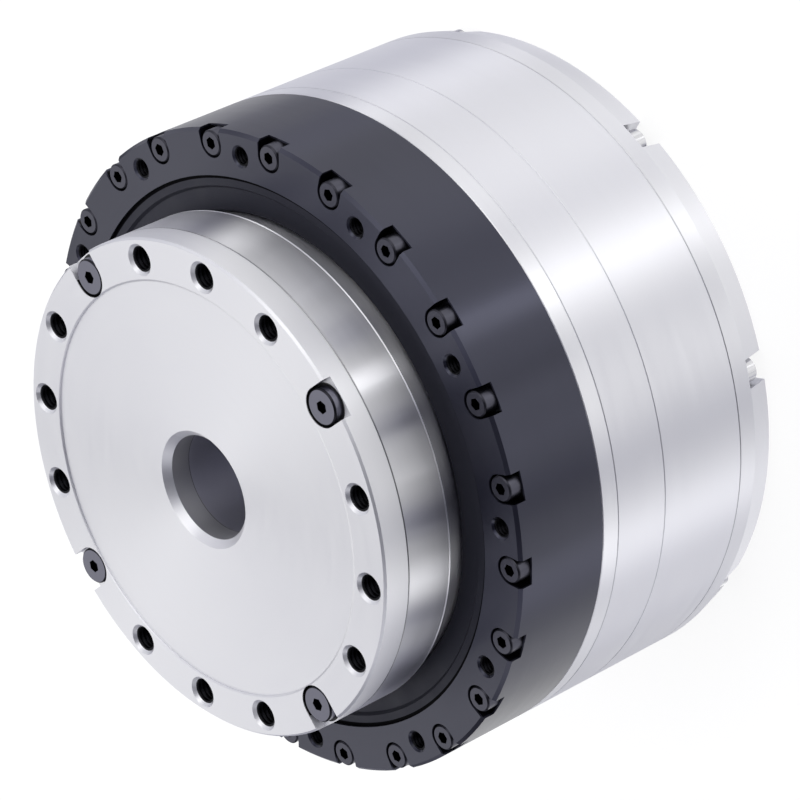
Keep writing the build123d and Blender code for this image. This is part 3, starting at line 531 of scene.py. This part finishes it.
looks = {
    "plate_face": turned_metal(
        "plate_face", (0.825, 0.825, 0.85), 0.48, ring=0.30 * MM, grain=0.025,
        anisotropy=0.6, seams=((plate_seam, 0.5),), rim=recess_edge,
        shaded_mouths=(
            (face_pattern_radius, face_places, 0.0, face_mouth, plate_front, hole_shade_share),
            (
                face_pattern_radius, plate_screw_count, 0.0, plate_screw_slot,
                plate_screw_top, hole_shade_share,
            ),
            # Painted shade on the bore wall below its chamfer.
            (0.0, 1, 0.0, bore_wall_radius, bore_wall_top, bore_wall_shade_share),
        ),
    ),
    "ground_steel": turned_metal(
        "ground_steel", (0.72, 0.72, 0.75), 0.32, ring=0.25 * MM, depth=0.002 * MM,
        spread=0.04, grain=0.03, anisotropy=1.0, seams=((plate_seam, 0.5),),
        edge=hub_rear + edge_height,
    ),
    "bearing_steel": turned_metal("bearing_steel", (0.58, 0.58, 0.60), 0.22, ring=0.20 * MM),
    "gear_steel": turned_metal("gear_steel", (0.50, 0.50, 0.52), 0.30),
    "shaft_steel": turned_metal("shaft_steel", (0.45, 0.45, 0.47), 0.30),
    "tube_metal": turned_metal(
        "tube_metal", (0.64, 0.64, 0.71), 0.45, ring=0.4 * MM, anisotropy=0.4
    ),
    "black_oxide": turned_metal(
        "black_oxide", (0.004, 0.004, 0.006), 0.32, ring=0.30 * MM, spread=0.04, grain=0.12,
        metallic=0.0, ior=1.71, anisotropy=1.0, specular_tint=(0.66, 0.68, 1.0, 1.0),
        coat=0.28, cavity=(ring_front, barrel_radius),
        shaded_mouths=((
            mount_pattern_radius, mount_thread_count, mount_thread_start, mount_mouth,
            above_all, hole_shade_share,
        ),),
    ),
    "screw_black": plain_metal(
        "screw_black", (0.090, 0.090, 0.112), 0.40,
        heads=((
            ring_screw_circle, ring_screw_count, ring_screw_start, ring_front,
            ring_screw_rim, ring_screw_rim_shade_share, ring_screw_socket,
        ),),
    ),
    "screw_grey": plain_metal(
        "screw_grey", (0.175, 0.175, 0.215), 0.36,
        heads=((
            face_pattern_radius, plate_screw_count, 0.0, plate_screw_top,
            plate_screw_rim, plate_screw_rim_shade_share, plate_screw_socket,
        ),),
    ),
    "screw_bright": plain_metal("screw_bright", (0.66, 0.66, 0.68), 0.24),
    "bright_band": turned_metal(
        "bright_band", (0.82, 0.82, 0.85), 0.40, ring=0.25 * MM, grain=0.03,
        anisotropy=0.88, seams=((spline_seam, 0.15),),
    ),
    "housing_satin": turned_metal(
        "housing_satin", (0.82, 0.82, 0.855), 0.46, ring=0.45 * MM, grain=0.03,
        anisotropy=0.82, seams=((cover_seam, 0.20), (housing_seam, 0.10), (spline_seam, 0.15)),
    ),
    "cover_satin": turned_metal(
        "cover_satin", (0.80, 0.80, 0.83), 0.44, ring=0.45 * MM, grain=0.03,
        anisotropy=0.82, seams=((cover_seam, 0.20),), face_shade_share=rear_face_shade_share,
    ),
    "seal_rubber": rubber(
        "seal_rubber", (0.009, 0.009, 0.014), specular_tint=(0.78, 0.80, 1.0, 1.0),
        gap=seal_edge,
    ),
    "lamination": laminations("lamination", (0.28, 0.29, 0.31), sheet=0.35 * MM),
    "copper": winding("copper", (0.72, 0.30, 0.12), wire=0.9 * MM),
    "magnet": plain_metal("magnet", (0.42, 0.42, 0.45), 0.22),
    "encoder_glass": code_disc("encoder_glass", (0.60, 0.62, 0.65), code_line_count),
    "circuit_board": board("circuit_board", (0.03, 0.18, 0.075)),
    "chip_black": rubber("chip_black", (0.022, 0.022, 0.024)),
    "cage_brass": plain_metal("cage_brass", (0.70, 0.52, 0.22), 0.28),
    "cage_polymer": plain_metal("cage_polymer", (0.55, 0.50, 0.38), 0.50, metallic=0.0),
    # Near-black threads: painted shade of the deep tapped holes.
    "thread_dark": plain_metal("thread_dark", (0.018, 0.018, 0.021), 0.5),
}


def dress_nodes():
    """Every carried-over piece takes the material of its slot."""
    for part in frame["record"]["subparts"]:
        node = nodes[part["node"]]
        node.data.materials.clear()
        node.data.materials.append(looks[part["material_slot"]])
        for face in node.data.polygons:
            face.material_index = 0


def thread_points(radius, pitch, depth):
    """Rings of points down one tapped hole, each ring's points riding on the helix."""
    count = int(depth / pitch * thread_steps)
    rings = []
    for step in range(count + 1):
        level = -step * pitch / thread_steps
        ring = []
        for side in range(thread_sides):
            turn = side / thread_sides
            phase = (step / thread_steps + turn) % 1.0
            crest = 1 - abs(2 * phase - 1)
            r = radius - thread_gap - crest * thread_height * pitch
            angle = full_turn * turn
            ring.append(Vector((r * math.cos(angle), r * math.sin(angle), level)))
        rings.append(ring)
    return rings


def add_thread(mesh, centre, radius, pitch, depth):
    """One closed sleeve with a helical thread on its inside."""
    points = thread_points(radius, pitch, depth)
    inner = [[mesh.verts.new(centre + p) for p in ring] for ring in points]
    outer = []
    for ring in inner:
        loop = []
        for vert in ring:
            away = Vector((vert.co.x - centre.x, vert.co.y - centre.y, 0)).normalized()
            middle = Vector((centre.x, centre.y, vert.co.z))
            loop.append(mesh.verts.new(middle + away * (radius - thread_gap / 2)))
        outer.append(loop)
    top_in, low_in, top_out, low_out = inner[0], inner[-1], outer[0], outer[-1]
    for side in range(thread_sides):
        following = (side + 1) % thread_sides
        for upper, lower in zip(inner, inner[1:]):
            mesh.faces.new((upper[side], lower[side], lower[following], upper[following]))
        for upper, lower in zip(outer, outer[1:]):
            mesh.faces.new((upper[following], lower[following], lower[side], upper[side]))
        mesh.faces.new((top_in[side], top_in[following], top_out[following], top_out[side]))
        mesh.faces.new((low_in[following], low_in[side], low_out[side], low_out[following]))


def thread_piece(name, centres, radius, pitch, depth, body):
    """The threads of one hole pattern as a single piece."""
    mesh = bmesh.new()
    for centre in centres:
        add_thread(mesh, centre, radius, pitch, depth)
    bmesh.ops.recalc_face_normals(mesh, faces=mesh.faces)
    data = bpy.data.meshes.new(name)
    mesh.to_mesh(data)
    mesh.free()
    piece = put(name, data)
    data.materials.append(looks["thread_dark"])
    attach(piece, body)


def polar(radius, angle, level):
    angle = math.radians(angle)
    return Vector((radius * math.cos(angle), radius * math.sin(angle), level))


def tapped_threads():
    """Threads in the twelve holes of the output face and the twelve of the black ring."""
    plate_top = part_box("output_plate")[1].z
    ring_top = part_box("bearing_outer_ring")[1].z
    step = 360 / face_places
    screw_step = face_places // plate_screw_count
    face = [
        polar(face_pattern_radius, place * step, plate_top - face_thread_top)
        for place in range(face_places) if place % screw_step
    ]
    thread_piece(
        "face_hole_threads", face, face_thread_radius, face_thread_pitch,
        face_thread_depth - face_thread_top, "output",
    )
    step = 360 / mount_thread_count
    mount = [
        polar(mount_pattern_radius, mount_thread_start + place * step, ring_top - mount_thread_top)
        for place in range(mount_thread_count)
    ]
    thread_piece(
        "mounting_hole_threads", mount, mount_thread_radius, mount_thread_pitch,
        mount_thread_depth - mount_thread_top, "body",
    )


def camera():
    """The camera at the photograph's angle, rolled so that the axis points to the lower left."""
    azimuth, elevation = math.radians(camera_azimuth), math.radians(camera_elevation)
    back = Vector((
        math.sin(azimuth) * math.cos(elevation),
        -math.cos(azimuth) * math.cos(elevation),
        math.sin(elevation),
    ))
    level_right = (-back).cross(Vector((0, 0, 1))).normalized()
    level_up = level_right.cross(-back)
    roll = math.radians(camera_roll)
    up = math.cos(roll) * level_up + math.sin(roll) * level_right
    right = (-back).cross(up)
    data = bpy.data.cameras.new("camera")
    data.lens = camera_lens
    data.sensor_width = sensor_width
    data.clip_start = clip_near
    data.clip_end = clip_far
    seen_from = put("camera", data)
    matrix = seen_from.matrix_world.to_3x3()
    matrix.col[0], matrix.col[1], matrix.col[2] = right, up, back
    seen_from.matrix_world = matrix.to_4x4()
    seen_from.location = camera_aim + back * camera_distance
    bpy.context.scene.camera = seen_from


def wall_brightness(look, turn, walls):
    """Brightness around the horizon, read from a list of azimuths and levels."""
    ramp = look.add("ShaderNodeValToRGB", i0=turn)
    ramp.color_ramp.interpolation = "B_SPLINE"
    seam = (walls[0][1] + walls[-1][1]) / 2
    elements = ramp.color_ramp.elements
    elements.remove(elements[-1])
    elements[0].position = 0.0
    elements[0].color = grey(seam / wall_peak)
    for azimuth, strength in (*walls, (360, seam)):
        element = elements.new(azimuth / 360)
        element.color = grey(strength / wall_peak)
    return look.times(ramp.outputs[0], wall_peak)


def strip_brightness(look, turn, azimuth, half_width, gain):
    """One soft-edged strip of light, or a dark flag where the gain is below zero."""
    away = look.math("ABSOLUTE", look.math("SUBTRACT", turn, azimuth / 360))
    nearest = look.math("MINIMUM", away, look.math("SUBTRACT", 1.0, away))
    return look.remap(nearest, half_width / 360, 0.0, 0.0, gain, kind="SMOOTHERSTEP")


def world():
    """A white studio: white to the camera, softly banded where metal mirrors it."""
    made = bpy.data.worlds.new("studio")
    bpy.context.scene.world = made
    made.use_nodes = True
    look = Look("studio", made.node_tree)
    x, y, z = look.split(look.texture.outputs["Generated"])
    turn = look.math("FRACT", look.math("ADD", look.turn(x, y), 1.0))
    rise = look.remap(z, horizon_low, horizon_high, kind="SMOOTHSTEP")
    low = wall_brightness(look, turn, low_walls)
    high = wall_brightness(look, turn, high_walls)
    level = look.mix(rise, low, high)
    for lowest, highest, group in strips:
        added = 0.0
        for azimuth, half_width, gain in group:
            strip = strip_brightness(look, turn, azimuth, half_width, gain)
            added = look.math("ADD", strip, added)
        above = look.remap(z, lowest - strip_fade, lowest + strip_fade, kind="SMOOTHSTEP")
        below = look.remap(z, highest + strip_fade, highest - strip_fade, kind="SMOOTHSTEP")
        level = look.math("ADD", level, look.times(added, look.times(above, below)))
    level = look.math("MAXIMUM", level, 0.0)
    tint = look.mix_colours(level, shade_tint + (1.0,), white)
    studio = look.add("ShaderNodeBackground", Color=tint, Strength=level)
    plain = look.add("ShaderNodeBackground", Color=white, Strength=1.0)
    path = look.add("ShaderNodeLightPath").outputs
    seen = look.math("MAXIMUM", path["Is Camera Ray"], path["Is Transmission Ray"])
    choose = look.add(
        "ShaderNodeMixShader", i0=seen, i1=studio.outputs[0], i2=plain.outputs[0]
    )
    output = look.add("ShaderNodeOutputWorld")
    look.tree.links.new(choose.outputs[0], output.inputs["Surface"])


def floor():
    """A plain pale floor, white to the camera, that keeps the object's soft shadow."""
    half = floor_half
    corners = [(-half, -half, 0), (half, -half, 0), (half, half, 0), (-half, half, 0)]
    data = bpy.data.meshes.new("floor")
    data.from_pydata(corners, [], [(0, 1, 2, 3)])
    plane = put("floor", data)
    plane.location.z = -floor_drop
    look = Look("floor")
    pale = look.tint(floor_grey, look.noise(look.place(), floor_clouds), 0.985, 1.0)
    diffuse = look.add("ShaderNodeBsdfDiffuse", Color=pale)
    shadowed = look.add("ShaderNodeBsdfDiffuse", Color=grey(floor_seen_grey))
    glow = look.add("ShaderNodeEmission", Color=white, Strength=floor_glow)
    to_camera = look.add("ShaderNodeAddShader", i0=shadowed.outputs[0], i1=glow.outputs[0])
    path = look.add("ShaderNodeLightPath").outputs["Is Camera Ray"]
    choose = look.add(
        "ShaderNodeMixShader", i0=path, i1=diffuse.outputs[0], i2=to_camera.outputs[0]
    )
    below = look.add("ShaderNodeNewGeometry").outputs["Backfacing"]
    clear = look.add("ShaderNodeBsdfTransparent")
    both = look.add(
        "ShaderNodeMixShader", i0=below, i1=choose.outputs[0], i2=clear.outputs[0]
    )
    data.materials.append(look.surface(both))
    plane.visible_glossy = False


def softbox(name, azimuth, elevation, distance, size, power):
    """A large square lamp that faces the object."""
    lamp = bpy.data.lights.new(name, "AREA")
    lamp.shape = "SQUARE"
    lamp.size = size
    lamp.energy = power
    placed = put(name, lamp)
    rise = math.radians(elevation)
    direction = polar(math.cos(rise), azimuth, math.sin(rise))
    placed.location = direction * distance
    placed.rotation_mode = "QUATERNION"
    placed.rotation_quaternion = direction.to_track_quat("Z", "Y")
    placed.visible_glossy = False


def lamps():
    """Soft studio light: a broad key over the output face and a weaker fill."""
    softbox("key", azimuth=60, elevation=60, distance=1.6, size=1.2, power=5.0)
    softbox("fill", azimuth=-120, elevation=35, distance=1.8, size=1.2, power=2.5)


camera()
world()
floor()
lamps()
dress_nodes()
tapped_threads()

bpy.context.scene.view_settings.view_transform = "Standard"
